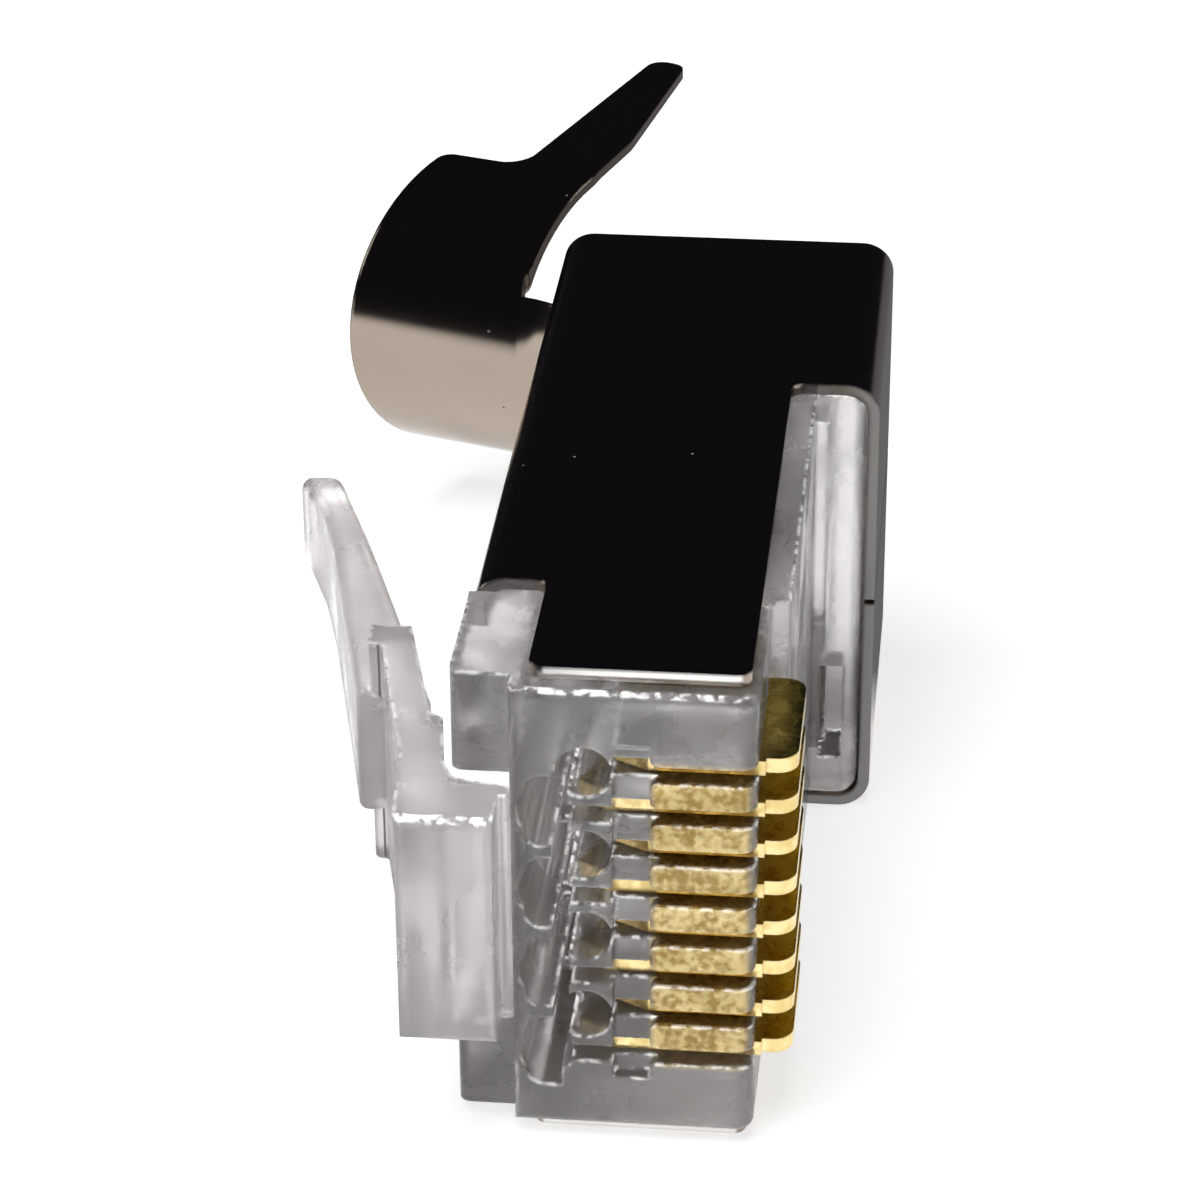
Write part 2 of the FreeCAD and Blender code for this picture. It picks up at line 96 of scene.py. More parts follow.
# ---- Sizes and colours a user may change ---------------------------------------------------------
class ClearPlasticSettings(bpy.types.PropertyGroup):
    tint: FloatVectorProperty(
        name="Tint", description="Colour that light picks up inside the clear plastic",
        subtype="COLOR", size=3, min=0, max=1, default=(0.985, 0.965, 0.955))
    shade: FloatVectorProperty(
        name="Shaded tint", description="Colour of the plastic's darker drifts",
        subtype="COLOR", size=3, min=0, max=1, default=(0.80, 0.775, 0.765))
    # Painted reflection and glow: the gold of the blades painted into the comb's fingers
    gold_glow: FloatVectorProperty(
        name="Gold glow", description="Light of the blades caught in the comb's fingers",
        subtype="COLOR", size=3, min=0, max=1, default=(1.0, 0.77, 0.30))
    gold_shadow: FloatVectorProperty(
        name="Gold shadow", description="Darker mottling of that glow",
        subtype="COLOR", size=3, min=0, max=1, default=(0.42, 0.25, 0.03))
    housing_clarity: FloatProperty(
        name="Housing clarity", description="How clear the housing is; the rest is milky",
        min=0, max=1, default=0.88)
    latch_clarity: FloatProperty(
        name="Latch clarity", description="How clear the latch is; the rest is milky",
        min=0, max=1, default=0.87)
    polish: FloatProperty(
        name="Polished roughness", description="Roughness of the moulded, polished faces",
        min=0, max=1, default=0.14)
    frost: FloatProperty(
        name="Frosted roughness", description="Roughness of the frosted patches and edges",
        min=0, max=1, default=0.40)
    edge_glints: FloatProperty(
        name="Edge glints", description="Brightness of the sparkle along the moulded edges",
        min=0, max=3, default=1.2)
    refraction: FloatProperty(
        name="Refraction", description="Refractive index of the plastic",
        min=1.0, max=2.5, default=1.58)
    edge_rounding: FloatProperty(
        name="Edge rounding", description="Radius of the moulded edges",
        subtype="DISTANCE", unit="LENGTH", min=0, default=0.00015)


class ShieldSettings(bpy.types.PropertyGroup):
    plating: FloatVectorProperty(
        name="Plating", description="Colour of the nickel plating",
        subtype="COLOR", size=3, min=0, max=1, default=(0.39, 0.325, 0.27))
    # The bright cut edge is partly the bare edge's colour and partly a painted highlight; the
    # darker edge colour past the nose is painted shade
    cut_edge_and_highlight: FloatVectorProperty(
        name="Cut edge", description="Colour of the sheared edges of the sheet",
        subtype="COLOR", size=3, min=0, max=1, default=(0.98, 0.96, 0.92))
    painted_shade_edge: FloatVectorProperty(
        name="Dull edge", description="Colour of the cut edges away from the nose",
        subtype="COLOR", size=3, min=0, max=1, default=(0.20, 0.195, 0.19))
    roughness: FloatProperty(
        name="Roughness", description="Roughness of the plating",
        min=0, max=1, default=0.12)
    dust: FloatProperty(
        name="Dust", description="How many fine dust specks lie on the plating",
        min=0, max=1, default=0.30)
    dust_colour: FloatVectorProperty(
        name="Dust colour", description="Colour of the dust specks",
        subtype="COLOR", size=3, min=0, max=1, default=(0.30, 0.29, 0.28))


class ContactSettings(bpy.types.PropertyGroup):
    gold: FloatVectorProperty(
        name="Gold", description="Colour of the gold plating",
        subtype="COLOR", size=3, min=0, max=1, default=(1.0, 0.79, 0.40))
    # Darker colour given to the blades' flanks, the faces turned along Z
    flank_gold: FloatVectorProperty(
        name="Worn gold", description="Colour of the thinner gold on the blades' flanks",
        subtype="COLOR", size=3, min=0, max=1, default=(0.80, 0.60, 0.12))
    roughness: FloatProperty(
        name="Roughness", description="Roughness of the gold",
        min=0, max=1, default=0.18)
    stamping_marks: FloatProperty(
        name="Stamping marks", description="Depth of the fine marks left by stamping",
        min=0, max=1, default=0.25)


class StageSettings(bpy.types.PropertyGroup):
    floor: FloatVectorProperty(
        name="Floor", description="Colour of the floor",
        subtype="COLOR", size=3, min=0, max=1, default=(0.86, 0.86, 0.865))
    floor_glow: FloatProperty(
        name="Floor glow", description="White that the floor adds to what the lamps give it",
        min=0, max=1, default=0.66)
    # Painted reflection: the card's grey and black are seen only in the plating
    card_grey: FloatVectorProperty(
        name="Grey card", description="Colour of the card on the contacts' side",
        subtype="COLOR", size=3, min=0, max=1, default=(0.16, 0.16, 0.17))
    card_shade: FloatVectorProperty(
        name="Black card", description="Colour of the card that darkens the shield's folds",
        subtype="COLOR", size=3, min=0, max=1, default=(0.012, 0.012, 0.014))
    ceiling: FloatVectorProperty(
        name="Ceiling", description="Colour of the dim studio above the table",
        subtype="COLOR", size=3, min=0, max=1, default=(0.010, 0.010, 0.014))
    room_through_plastic: FloatVectorProperty(
        name="Room through plastic",
        description="Colour of the room where it is seen through clear plastic",
        subtype="COLOR", size=3, min=0, max=1, default=(0.46, 0.44, 0.435))
    lamp_watts: FloatProperty(
        name="Lamp power", description="Power of the key lamp",
        unit="POWER", min=0, default=0.44)
    soft_lamps: BoolProperty(
        name="Side lamps", description="Light the plug from both sides as well",
        default=True)


# ---- Small helpers -------------------------------------------------------------------------------
def place_object(name, data):
    obj = bpy.data.objects.new(name, data)
    bpy.context.scene.collection.objects.link(obj)
    return obj


def give_material(obj, material):
    slots = obj.material_slots
    if not len(slots):
        obj.data.materials.append(material)
        return
    for slot in slots:
        slot.material = material


def lay_plane(name, z, reach, material):
    """A level square on the middle of the plug, reaching as far to each side."""
    mesh = bpy.data.meshes.new(name)
    corners = [(-reach, -reach, z), (reach, -reach, z), (reach, reach, z), (-reach, reach, z)]
    mesh.from_pydata(corners, [], [(0, 1, 2, 3)])
    plane = place_object(name, mesh)
    give_material(plane, material)
    return plane


class NodeWriter:
    """Adds shader nodes one after another and joins them."""

    def __init__(self, tree):
        self.tree = tree

    def add(self, kind, **values):
        node = self.tree.nodes.new(kind)
        for key, value in values.items():
            setattr(node, key, value)
        return node

    def join(self, source, target):
        self.tree.links.new(source, target)

    def ramp(self, value, low, high, top=1.0):
        """Runs from 0 at low to top at high; hands back the output socket."""
        node = self.add("ShaderNodeMapRange")
        node.inputs["From Min"].default_value = low
        node.inputs["From Max"].default_value = high
        node.inputs["To Max"].default_value = top
        self.join(value, node.inputs["Value"])
        return node.outputs["Result"]

    def maths(self, operation, first, second=None, clamp=False):
        """A Math node on sockets or plain numbers; hands back the output socket."""
        node = self.add("ShaderNodeMath", operation=operation, use_clamp=clamp)
        for socket, value in zip(node.inputs, (first, second)):
            if isinstance(value, float):
                socket.default_value = value
            elif value is not None:
                self.join(value, socket)
        return node.outputs[0]

    def mix(self, factor, first, second, blend_type="MIX"):
        """Mixes two colours, given as sockets or as plain colours, by a socket or a number."""
        node = self.add("ShaderNodeMix", data_type="RGBA", blend_type=blend_type)
        for label, value in (("Factor", factor), ("A", first), ("B", second)):
            if isinstance(value, bpy.types.NodeSocket):
                self.join(value, node.inputs[label])
            elif label == "Factor":
                node.inputs[label].default_value = value
            else:
                node.inputs[label].default_value = (*value, 1)
        return node.outputs["Result"]

    def split_vector(self, vector):
        node = self.add("ShaderNodeSeparateXYZ")
        self.join(vector, node.inputs["Vector"])
        return node.outputs

    def noise(self, place, scale, detail=2.0):
        node = self.add("ShaderNodeTexNoise")
        node.inputs["Scale"].default_value = scale
        node.inputs["Detail"].default_value = detail
        self.join(place, node.inputs["Vector"])
        return node.outputs["Fac"]


def empty_material(name):
    """Hands back a new material, a writer for its nodes and its output node."""
    material = bpy.data.materials.new(name)
    material.use_nodes = True
    material.node_tree.nodes.clear()
    w = NodeWriter(material.node_tree)
    return material, w, w.add("ShaderNodeOutputMaterial")


def new_material(name):
    """Hands back a new material, a writer for its nodes and its Principled shader."""
    material, w, output = empty_material(name)
    shader = w.add("ShaderNodeBsdfPrincipled")
    w.join(shader.outputs[0], output.inputs["Surface"])
    return material, w, shader


# ---- Shared surface effects ----------------------------------------------------------------------
def group_with(name, inputs, outputs):
    """Starts a shader node group, or hands back the one already made with no writer beside it."""
    group = bpy.data.node_groups.get(name)
    if group:
        return group, None, None, None
    group = bpy.data.node_groups.new(name, "ShaderNodeTree")
    for label, kind, default in inputs:
        socket = group.interface.new_socket(name=label, in_out="INPUT", socket_type=kind)
        if default is not None:
            socket.default_value = default
    for label, kind in outputs:
        group.interface.new_socket(name=label, in_out="OUTPUT", socket_type=kind)
    w = NodeWriter(group)
    return group, w, w.add("NodeGroupInput"), w.add("NodeGroupOutput")


def surface_grain():
    """Fine irregular grain: a mask and a height, on Object coordinates."""
    group, w, entry, out = group_with(
        "Surface Grain",
        [("Scale", "NodeSocketFloat", 900.0), ("Detail", "NodeSocketFloat", 4.0),
         ("Low", "NodeSocketFloat", 0.4), ("High", "NodeSocketFloat", 0.65)],
        [("Mask", "NodeSocketFloat"), ("Height", "NodeSocketFloat")])
    if w is None:
        return group
    place = w.add("ShaderNodeTexCoord")
    noise = w.add("ShaderNodeTexNoise")
    ramp = w.add("ShaderNodeMapRange")
    w.join(place.outputs["Object"], noise.inputs["Vector"])
    w.join(entry.outputs["Scale"], noise.inputs["Scale"])
    w.join(entry.outputs["Detail"], noise.inputs["Detail"])
    w.join(noise.outputs["Fac"], ramp.inputs["Value"])
    w.join(entry.outputs["Low"], ramp.inputs["From Min"])
    w.join(entry.outputs["High"], ramp.inputs["From Max"])
    w.join(ramp.outputs["Result"], out.inputs["Mask"])
    w.join(noise.outputs["Fac"], out.inputs["Height"])
    return group


def dust_specks():
    """Sparse round specks: a mask on Object coordinates."""
    group, w, entry, out = group_with(
        "Dust Specks",
        [("Scale", "NodeSocketFloat", 1500.0), ("Speck Size", "NodeSocketFloat", 0.12),
         ("Amount", "NodeSocketFloat", 0.3)],
        [("Mask", "NodeSocketFloat")])
    if w is None:
        return group
    place = w.add("ShaderNodeTexCoord")
    cells = w.add("ShaderNodeTexVoronoi")
    pick = w.add("ShaderNodeSeparateColor")
    w.join(place.outputs["Object"], cells.inputs["Vector"])
    w.join(entry.outputs["Scale"], cells.inputs["Scale"])
    w.join(cells.outputs["Color"], pick.inputs["Color"])
    near_centre = w.maths("LESS_THAN", cells.outputs["Distance"], entry.outputs["Speck Size"])
    rare = w.maths("MULTIPLY", entry.outputs["Amount"], MOST_SPECKS)
    chosen = w.maths("LESS_THAN", pick.outputs["Red"], rare)
    w.join(w.maths("MULTIPLY", near_centre, chosen), out.inputs["Mask"])
    return group


def edge_glints():
    """Broken sparkle on edges and moulded roundings that face forwards and up."""
    group, w, entry, out = group_with(
        "Edge Glints",
        [("Rounded Normal", "NodeSocketVector", None), ("Scale", "NodeSocketFloat", 4000.0)],
        [("Color", "NodeSocketColor")])
    if w is None:
        return group
    face = w.add("ShaderNodeNewGeometry")
    place = w.add("ShaderNodeTexCoord")
    rounded_normal = entry.outputs["Rounded Normal"]
    # sharp edges, where the rounded normal turns away from the face's own
    turn = w.add("ShaderNodeVectorMath", operation="DOT_PRODUCT")
    w.join(rounded_normal, turn.inputs[0])
    w.join(face.outputs["True Normal"], turn.inputs[1])
    edge = w.ramp(turn.outputs["Value"], 0.985, 0.86)
    # modelled roundings that face forwards and up at once
    slope = w.add("ShaderNodeVectorMath", operation="DOT_PRODUCT")
    slope.inputs[1].default_value = FORWARDS_AND_UP
    w.join(face.outputs["True Normal"], slope.inputs[0])
    rounding = w.ramp(slope.outputs["Value"], 0.90, 0.985)
    upward = w.ramp(w.split_vector(rounded_normal)["Z"], 0.25, 0.60)
    grain = w.add("ShaderNodeTexNoise")
    grain.inputs["Detail"].default_value = 3.0
    w.join(place.outputs["Object"], grain.inputs["Vector"])
    w.join(entry.outputs["Scale"], grain.inputs["Scale"])
    broken = w.ramp(grain.outputs["Fac"], 0.44, 0.58)
    either = w.maths("MAXIMUM", edge, rounding)
    shine = w.maths("MULTIPLY", w.maths("MULTIPLY", either, upward), broken)
    white = w.add("ShaderNodeCombineColor")
    for channel in ("Red", "Green", "Blue"):
        w.join(shine, white.inputs[channel])
    w.join(white.outputs["Color"], out.inputs["Color"])
    return group


def comb_glow():
    """Painted reflection of the gold blades in the comb's fingers, mottled, on Object coordinates.

    Mask says where, Color is the painted gold for the base colour, and Caught is the part of it
    that glows as emission on the fingers' front faces, a painted glow.
    """
    group, w, entry, out = group_with(
        "Comb Glow",
        [("Inner", "NodeSocketFloat", GOLD_INNER_X), ("Outer", "NodeSocketFloat", GOLD_OUTER_X),
         ("Half Height", "NodeSocketFloat", GOLD_HALF_HEIGHT),
         ("Rear", "NodeSocketFloat", GOLD_REAR_Y),
         ("Bright", "NodeSocketColor", None), ("Dark", "NodeSocketColor", None)],
        [("Mask", "NodeSocketFloat"), ("Color", "NodeSocketColor"),
         ("Caught", "NodeSocketColor")])
    if w is None:
        return group
    place = w.add("ShaderNodeTexCoord").outputs["Object"]
    face = w.add("ShaderNodeNewGeometry")
    at = w.split_vector(place)

    def beyond(value, limit):
        """0 up to the limit, rising to 1 within a fifth of a millimetre."""
        return w.maths("MULTIPLY", w.maths("SUBTRACT", value, limit), 5.0 / MM, clamp=True)

    height = w.maths("ABSOLUTE", at["Z"])
    mask = beyond(at["X"], entry.outputs["Inner"])
    for part in (beyond(entry.outputs["Outer"], at["X"]),
                 beyond(entry.outputs["Half Height"], height),
                 beyond(entry.outputs["Rear"], at["Y"])):
        mask = w.maths("MULTIPLY", mask, part)
    total = w.maths("ADD", w.noise(place, 6000.0, 4.0), w.noise(place, 1500.0))
    mottle = w.ramp(total, 0.84, 1.16)
    gold = w.mix(mottle, entry.outputs["Dark"], entry.outputs["Bright"])
    facing = w.split_vector(face.outputs["True Normal"])
    # painted glow: the gold is given as emission only on faces turned forwards
    forwards = w.ramp(facing["Y"], -0.35, -0.85, CAUGHT_GOLD)
    leaving = w.maths("MULTIPLY", forwards, mask)
    w.join(mask, out.inputs["Mask"])
    w.join(gold, out.inputs["Color"])
    w.join(w.mix(leaving, (0, 0, 0), gold), out.inputs["Caught"])
    return group


def front_edges():
    """Cut edges of the sheet that face forwards: a mask, and a colour, bright up to the nose
    (partly a painted highlight) and darkened past it (painted shade).
    """
    group, w, entry, out = group_with(
        "Front Edges",
        [("Nose", "NodeSocketFloat", NOSE_REAR), ("Bright", "NodeSocketColor", None),
         ("Dull", "NodeSocketColor", None)],
        [("Mask", "NodeSocketFloat"), ("Color", "NodeSocketColor")])
    if w is None:
        return group
    face = w.add("ShaderNodeNewGeometry")
    place = w.add("ShaderNodeTexCoord")
    at = w.split_vector(place.outputs["Object"])
    facing = w.split_vector(face.outputs["True Normal"])
    forwards = w.ramp(facing["Y"], -0.90, -0.99)
    before_clip = w.maths("LESS_THAN", at["Y"], SHIELD_BODY_REAR)
    past_nose = w.maths("GREATER_THAN", at["Y"], entry.outputs["Nose"])
    w.join(w.maths("MULTIPLY", forwards, before_clip), out.inputs["Mask"])
    w.join(w.mix(past_nose, entry.outputs["Bright"], entry.outputs["Dull"]), out.inputs["Color"])
    return group


def card_cover():
    """Where the card covers the table: left of the nose up to a slanted line, and the rear."""
    group, w, entry, out = group_with(
        "Card Cover",
        [("Near", "NodeSocketFloat", CARD_NEAR_X), ("Slant", "NodeSocketFloat", CARD_SLANT),
         ("Offset", "NodeSocketFloat", CARD_OFFSET_Y), ("Rear", "NodeSocketFloat", CARD_REAR_Y),
         ("Rear Right", "NodeSocketFloat", CARD_REAR_RIGHT_Y),
         ("Dark", "NodeSocketColor", None), ("Grey", "NodeSocketColor", None)],
        [("Cover", "NodeSocketFloat"), ("Color", "NodeSocketColor")])
    if w is None:
        return group
    place = w.add("ShaderNodeTexCoord")
    at = w.split_vector(place.outputs["Object"])
    x, y = at["X"], at["Y"]

    def soft_step(value, limit, width):
        """0 below the limit, rising to 1 over the width."""
        return w.maths("MULTIPLY", w.maths("SUBTRACT", value, limit), 1.0 / width, clamp=True)

    line = w.maths("ADD", w.maths("MULTIPLY", x, entry.outputs["Slant"]), entry.outputs["Offset"])
    front = soft_step(line, y, CARD_LINE_SOFTNESS)
    left = soft_step(entry.outputs["Near"], x, CARD_EDGE_SOFTNESS)
    rear = soft_step(y, entry.outputs["Rear"], CARD_EDGE_SOFTNESS)
    right = soft_step(x, CARD_RIGHT_START, CARD_RIGHT_SOFTNESS)
    behind = soft_step(y, entry.outputs["Rear Right"], CARD_EDGE_SOFTNESS)
    cover = w.maths("MAXIMUM", w.maths("MULTIPLY", front, left), rear)
    cover = w.maths("MAXIMUM", cover, w.maths("MULTIPLY", behind, right))
    w.join(cover, out.inputs["Cover"])
    w.join(w.mix(right, entry.outputs["Dark"], entry.outputs["Grey"]), out.inputs["Color"])
    return group


def place_group(w, group, **values):
    """Places a group; an underscore in a keyword stands for a space in the input's name."""
    node = w.add("ShaderNodeGroup")
    node.node_tree = group
    for label, value in values.items():
        node.inputs[label.replace("_", " ")].default_value = value
    return node


# ---- Materials -----------------------------------------------------------------------------------
def rounded_bump(w, shader, height, radius, samples, strength, depth):
    """Rounds the edges and adds fine relief to the shading; hands back the rounded normal."""
    rounding = w.add("ShaderNodeBevel", samples=samples)
    rounding.inputs["Radius"].default_value = radius
    bump = w.add("ShaderNodeBump")
    bump.inputs["Strength"].default_value = strength
    bump.inputs["Distance"].default_value = depth
    w.join(height, bump.inputs["Height"])
    w.join(rounding.outputs["Normal"], bump.inputs["Normal"])
    w.join(bump.outputs["Normal"], shader.inputs["Normal"])
    return rounding.outputs["Normal"]


def between(w, mask, low, high):
    """Runs from low to high as the mask runs from 0 to 1; hands back the output socket."""
    node = w.add("ShaderNodeMapRange")
    node.inputs["To Min"].default_value = low
    node.inputs["To Max"].default_value = high
    w.join(mask, node.inputs["Value"])
    return node.outputs["Result"]


def clear_plastic(name, settings, frosted, clarity, with_gold):
    """Frosted polycarbonate; frosted runs from 0, polished, to 1, frosted all over."""
    material, w, shader = new_material(name)
    shader.inputs["IOR"].default_value = settings.refraction
    shader.inputs["Transmission Weight"].default_value = clarity
    shader.inputs["Metallic"].default_value = 0.0
    shader.inputs["Emission Strength"].default_value = settings.edge_glints
    patches = place_group(w, surface_grain(), Scale=420.0, Detail=5.0,
                          Low=0.62 - FROST_REACH * frosted, High=0.78 - FROST_REACH * frosted)
    w.join(between(w, patches.outputs["Mask"], settings.polish, settings.frost),
           shader.inputs["Roughness"])
    drifts = place_group(w, surface_grain(), Scale=330.0, Detail=3.0, Low=0.42, High=0.60)
    colour = w.mix(drifts.outputs["Mask"], settings.tint, settings.shade)
    ripple = place_group(w, surface_grain(), Scale=1700.0, Detail=4.0, Low=0.3, High=0.7)
    rounded_normal = rounded_bump(w, shader, ripple.outputs["Height"],
                                  radius=settings.edge_rounding, samples=3,
                                  strength=0.30, depth=0.04 * MM)
    glints = place_group(w, edge_glints(), Scale=4200.0)
    w.join(rounded_normal, glints.inputs["Rounded Normal"])
    shine = glints.outputs["Color"]
    # Painted reflection of the gold blades in the fingers' base colour, and a painted gold glow
    # added to the emission
    if with_gold:
        gold = place_group(w, comb_glow(), Inner=GOLD_INNER_X, Outer=GOLD_OUTER_X,
                           Half_Height=GOLD_HALF_HEIGHT, Rear=GOLD_REAR_Y,
                           Bright=(*settings.gold_glow, 1), Dark=(*settings.gold_shadow, 1))
        colour = w.mix(gold.outputs["Mask"], colour, gold.outputs["Color"])
        shine = w.mix(1.0, shine, gold.outputs["Caught"], blend_type="ADD")
    w.join(colour, shader.inputs["Base Color"])
    w.join(shine, shader.inputs["Emission Color"])
    return material


def nickel_plate(settings):
    """Bright nickel over folded sheet, with bare cut edges painted bright at the nose (partly a
    painted highlight) and dark past it (painted shade), and a few dust specks.
    """
    material, w, shader = new_material("Nickel Plate")
    shader.inputs["Metallic"].default_value = 1.0   # what holds where the link below isn't read
    clouds = place_group(w, surface_grain(), Scale=160.0, Detail=3.0, Low=0.35, High=0.7)
    specks = place_group(w, dust_specks(), Scale=2600.0, Speck_Size=0.10, Amount=settings.dust)
    edges = place_group(w, front_edges(), Nose=NOSE_REAR, Bright=(*settings.cut_edge_and_highlight, 1),
                        Dull=(*settings.painted_shade_edge, 1))
    cloudy = [channel * CLOUD_TONE for channel in settings.plating]
    colour = w.mix(clouds.outputs["Mask"], settings.plating, cloudy)
    # painted highlight and painted shade on the forward cut edges
    colour = w.mix(edges.outputs["Mask"], colour, edges.outputs["Color"])
    colour = w.mix(specks.outputs["Mask"], colour, settings.dust_colour)
    w.join(colour, shader.inputs["Base Color"])
    polish = between(w, clouds.outputs["Mask"],
                     settings.roughness, settings.roughness + CLOUD_ROUGHNESS)
    w.join(w.maths("MAXIMUM", polish, specks.outputs["Mask"]), shader.inputs["Roughness"])
    w.join(w.maths("SUBTRACT", 1.0, specks.outputs["Mask"]), shader.inputs["Metallic"])
    rounded_bump(w, shader, clouds.outputs["Height"], radius=0.12 * MM, samples=4,
                 strength=0.05, depth=0.03 * MM)
    return material


def gold_plate(settings):
    """Gold flash: bright on the edges, darker and marked on the stamped flanks."""
    material, w, shader = new_material("Gold Plate")
    shader.inputs["Metallic"].default_value = 1.0
    face = w.add("ShaderNodeNewGeometry")
    marks = place_group(w, surface_grain(), Scale=2600.0, Detail=4.0, Low=0.42, High=0.62)
    # darker on the flanks: faces turned along Z take the flank colour
    flank = w.maths("ABSOLUTE", w.split_vector(face.outputs["True Normal"])["Z"])
    colour = w.mix(flank, settings.gold, settings.flank_gold)
    stained = [channel * STAIN_TONE for channel in settings.flank_gold]
    colour = w.mix(w.maths("MULTIPLY", marks.outputs["Mask"], STAIN_SHARE), colour, stained)
    w.join(colour, shader.inputs["Base Color"])
    polish = between(w, marks.outputs["Mask"],
                     settings.roughness, settings.roughness + STAIN_ROUGHNESS)
    w.join(polish, shader.inputs["Roughness"])
    rounded_bump(w, shader, marks.outputs["Height"], radius=0.05 * MM, samples=2,
                 strength=settings.stamping_marks, depth=0.02 * MM)
    return material


# ---- Operators -----------------------------------------------------------------------------------
class PLUG_OT_housing(bpy.types.Operator):
    """Give the clear housing its polycarbonate"""
    bl_idname = "plug.housing"
    bl_label = "Housing"

    def execute(self, context):
        settings = context.scene.plug_plastic
        material = clear_plastic("Clear Housing", settings, frosted=HOUSING_FROSTING,
                                 clarity=settings.housing_clarity, with_gold=True)
        give_material(NODES["housing"], material)
        return {"FINISHED"}


class PLUG_OT_latch(bpy.types.Operator):
    """Give the latch its polycarbonate"""
    bl_idname = "plug.latch"
    bl_label = "Latch"

    def execute(self, context):
        settings = context.scene.plug_plastic
        material = clear_plastic("Clear Latch", settings, frosted=LATCH_FROSTING,
                                 clarity=settings.latch_clarity, with_gold=False)
        give_material(NODES["latch_lever"], material)
        return {"FINISHED"}


class PLUG_OT_shield(bpy.types.Operator):
    """Give the folded shield its nickel plating"""
    bl_idname = "plug.shield"
    bl_label = "Shield"

    def execute(self, context):
        give_material(NODES["shield"], nickel_plate(context.scene.plug_shield))
        return {"FINISHED"}


class PLUG_OT_contacts(bpy.types.Operator):
    """Give the eight blades their gold plating"""
    bl_idname = "plug.contacts"
    bl_label = "Contacts"

    def execute(self, context):
        material = gold_plate(context.scene.plug_contacts)
        for name in CONTACTS:
            give_material(NODES[name], material)
        return {"FINISHED"}


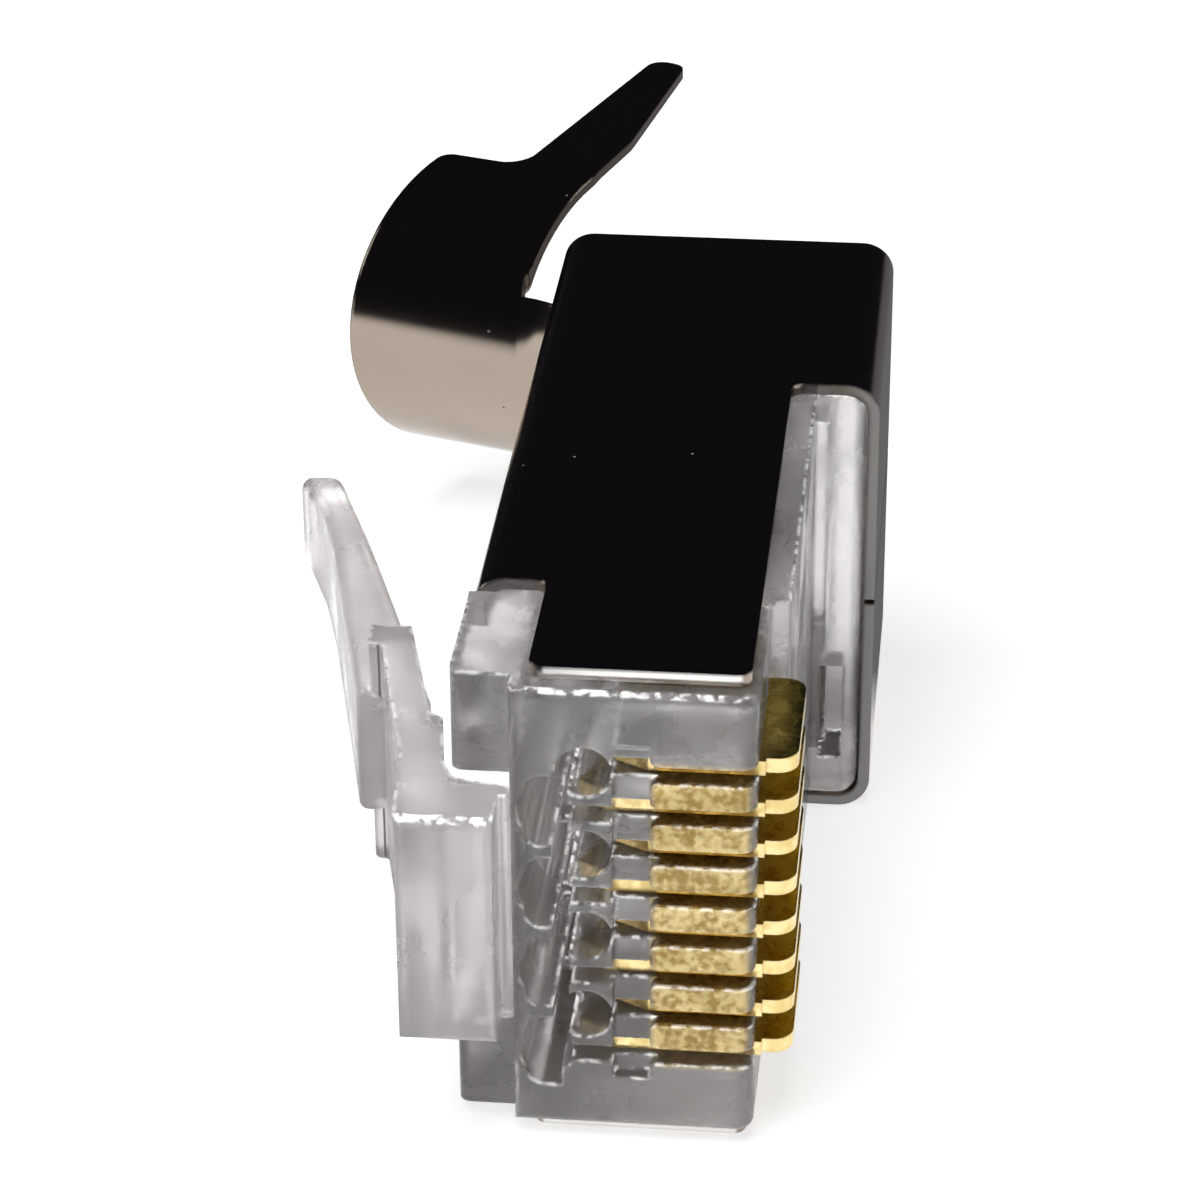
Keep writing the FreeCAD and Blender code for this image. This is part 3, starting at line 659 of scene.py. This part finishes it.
class PLUG_OT_stage(bpy.types.Operator):
    """Lay the table, hang the lamps and set up the camera"""
    bl_idname = "plug.stage"
    bl_label = "Stage"

    def execute(self, context):
        stage = context.scene.plug_stage
        self.lay_floor(stage)
        self.lay_black_card(stage)
        self.paint_room(context, stage)
        self.hang_lamps(stage)
        self.place_camera(context)
        return {"FINISHED"}

    def lay_floor(self, stage):
        """A pale table that keeps the plug's shadow and adds some white of its own where seen."""
        material, w, output = empty_material("Pale Table")
        paint = w.add("ShaderNodeBsdfDiffuse")
        paint.inputs["Color"].default_value = (*stage.floor, 1)
        glow = w.add("ShaderNodeEmission")
        glow.inputs["Color"].default_value = (1, 1, 1, 1)
        rays = w.add("ShaderNodeLightPath")
        seen = w.maths("MAXIMUM", rays.outputs["Is Camera Ray"], rays.outputs["Is Glossy Ray"])
        seen = w.maths("MAXIMUM", seen, rays.outputs["Is Transmission Ray"])
        w.join(w.maths("MULTIPLY", seen, stage.floor_glow), glow.inputs["Strength"])
        both = w.add("ShaderNodeAddShader")
        w.join(paint.outputs[0], both.inputs[0])
        w.join(glow.outputs[0], both.inputs[1])
        w.join(both.outputs[0], output.inputs["Surface"])
        table = lay_plane("table", CAD_BOX[0][2], TABLE_REACH, material)

    def lay_black_card(self, stage):
        """A soft-edged card seen only in the plating, a painted reflection: it darkens the folds
        and the clip's crown, and greys the contacts' side.
        """
        material, w, shader = new_material("Black Card")
        cover = place_group(w, card_cover(), Near=CARD_NEAR_X, Slant=CARD_SLANT,
                            Offset=CARD_OFFSET_Y, Rear=CARD_REAR_Y,
                            Rear_Right=CARD_REAR_RIGHT_Y,
                            Dark=(*stage.card_shade, 1), Grey=(*stage.card_grey, 1))
        w.join(cover.outputs["Cover"], shader.inputs["Alpha"])
        w.join(cover.outputs["Color"], shader.inputs["Emission Color"])
        shader.inputs["Emission Strength"].default_value = 1.0
        shader.inputs["Base Color"].default_value = (0, 0, 0, 1)
        shader.inputs["Roughness"].default_value = 1.0
        shader.inputs["Specular IOR Level"].default_value = 0.0
        card = lay_plane("black_card", CAD_BOX[0][2] + CARD_LIFT, CARD_REACH, material)
        card.visible_camera = False
        card.visible_diffuse = False
        card.visible_transmission = False
        card.visible_shadow = False

    def paint_room(self, context, stage):
        """A dim studio all round, lighter where it is seen through the clear plastic."""
        world = bpy.data.worlds.new("Dim Studio")
        context.scene.world = world
        world.use_nodes = True
        world.node_tree.nodes.clear()
        w = NodeWriter(world.node_tree)
        output = w.add("ShaderNodeOutputWorld")
        sky = w.add("ShaderNodeBackground")
        rays = w.add("ShaderNodeLightPath")
        tone = w.mix(rays.outputs["Is Transmission Ray"], stage.ceiling, stage.room_through_plastic)
        w.join(tone, sky.inputs["Color"])
        w.join(sky.outputs[0], output.inputs["Surface"])

    def hang_lamps(self, stage):
        for name, place, width, share, mirrored in (
                KEY_LAMP, *(SIDE_LAMPS if stage.soft_lamps else ())):
            data = bpy.data.lights.new(name, "AREA")
            data.shape = "DISK"
            data.size = width
            data.energy = stage.lamp_watts * share
            lamp = place_object(name, data)
            lamp.location = place
            aim = LAMP_TARGET - Vector(place)
            lamp.rotation_euler = aim.to_track_quat("-Z", "Y").to_euler()
            lamp.visible_glossy = mirrored

    def place_camera(self, context):
        data = bpy.data.cameras.new("camera")
        data.lens = CAMERA_LENS
        data.sensor_width = CAMERA_SENSOR
        data.clip_start = CAMERA_NEAR
        data.clip_end = CAMERA_FAR
        camera = place_object("camera", data)
        camera.location = CAMERA_PLACE
        camera.rotation_euler = [math.radians(angle) for angle in CAMERA_TURN]
        context.scene.camera = camera
        context.scene.view_settings.view_transform = "Standard"


class PLUG_PT_panel(bpy.types.Panel):
    """Sizes, colours and steps of the modular plug"""
    bl_idname = "PLUG_PT_panel"
    bl_label = "Modular Plug"
    bl_space_type = "VIEW_3D"
    bl_region_type = "UI"
    bl_category = "Modular Plug"

    def draw(self, context):
        layout = self.layout
        scene = context.scene
        for group in (scene.plug_plastic, scene.plug_shield, scene.plug_contacts,
                      scene.plug_stage):
            box = layout.box()
            for name in group.__annotations__:
                box.prop(group, name)
        for step in STEPS:
            layout.operator("plug." + step)


STEPS = ("stage", "housing", "latch", "shield", "contacts")
CLASSES = (ClearPlasticSettings, ShieldSettings, ContactSettings, StageSettings,
           PLUG_OT_housing, PLUG_OT_latch, PLUG_OT_shield, PLUG_OT_contacts, PLUG_OT_stage,
           PLUG_PT_panel)
SETTINGS = {"plug_plastic": ClearPlasticSettings, "plug_shield": ShieldSettings,
            "plug_contacts": ContactSettings, "plug_stage": StageSettings}


def register():
    for cls in CLASSES:
        bpy.utils.register_class(cls)
    for name, cls in SETTINGS.items():
        setattr(bpy.types.Scene, name, PointerProperty(type=cls))


def unregister():
    for name in SETTINGS:
        delattr(bpy.types.Scene, name)
    for cls in reversed(CLASSES):
        bpy.utils.unregister_class(cls)


def main():
    register()
    for step in STEPS:
        getattr(bpy.ops.plug, step)()


if __name__ == "__main__":
    main()
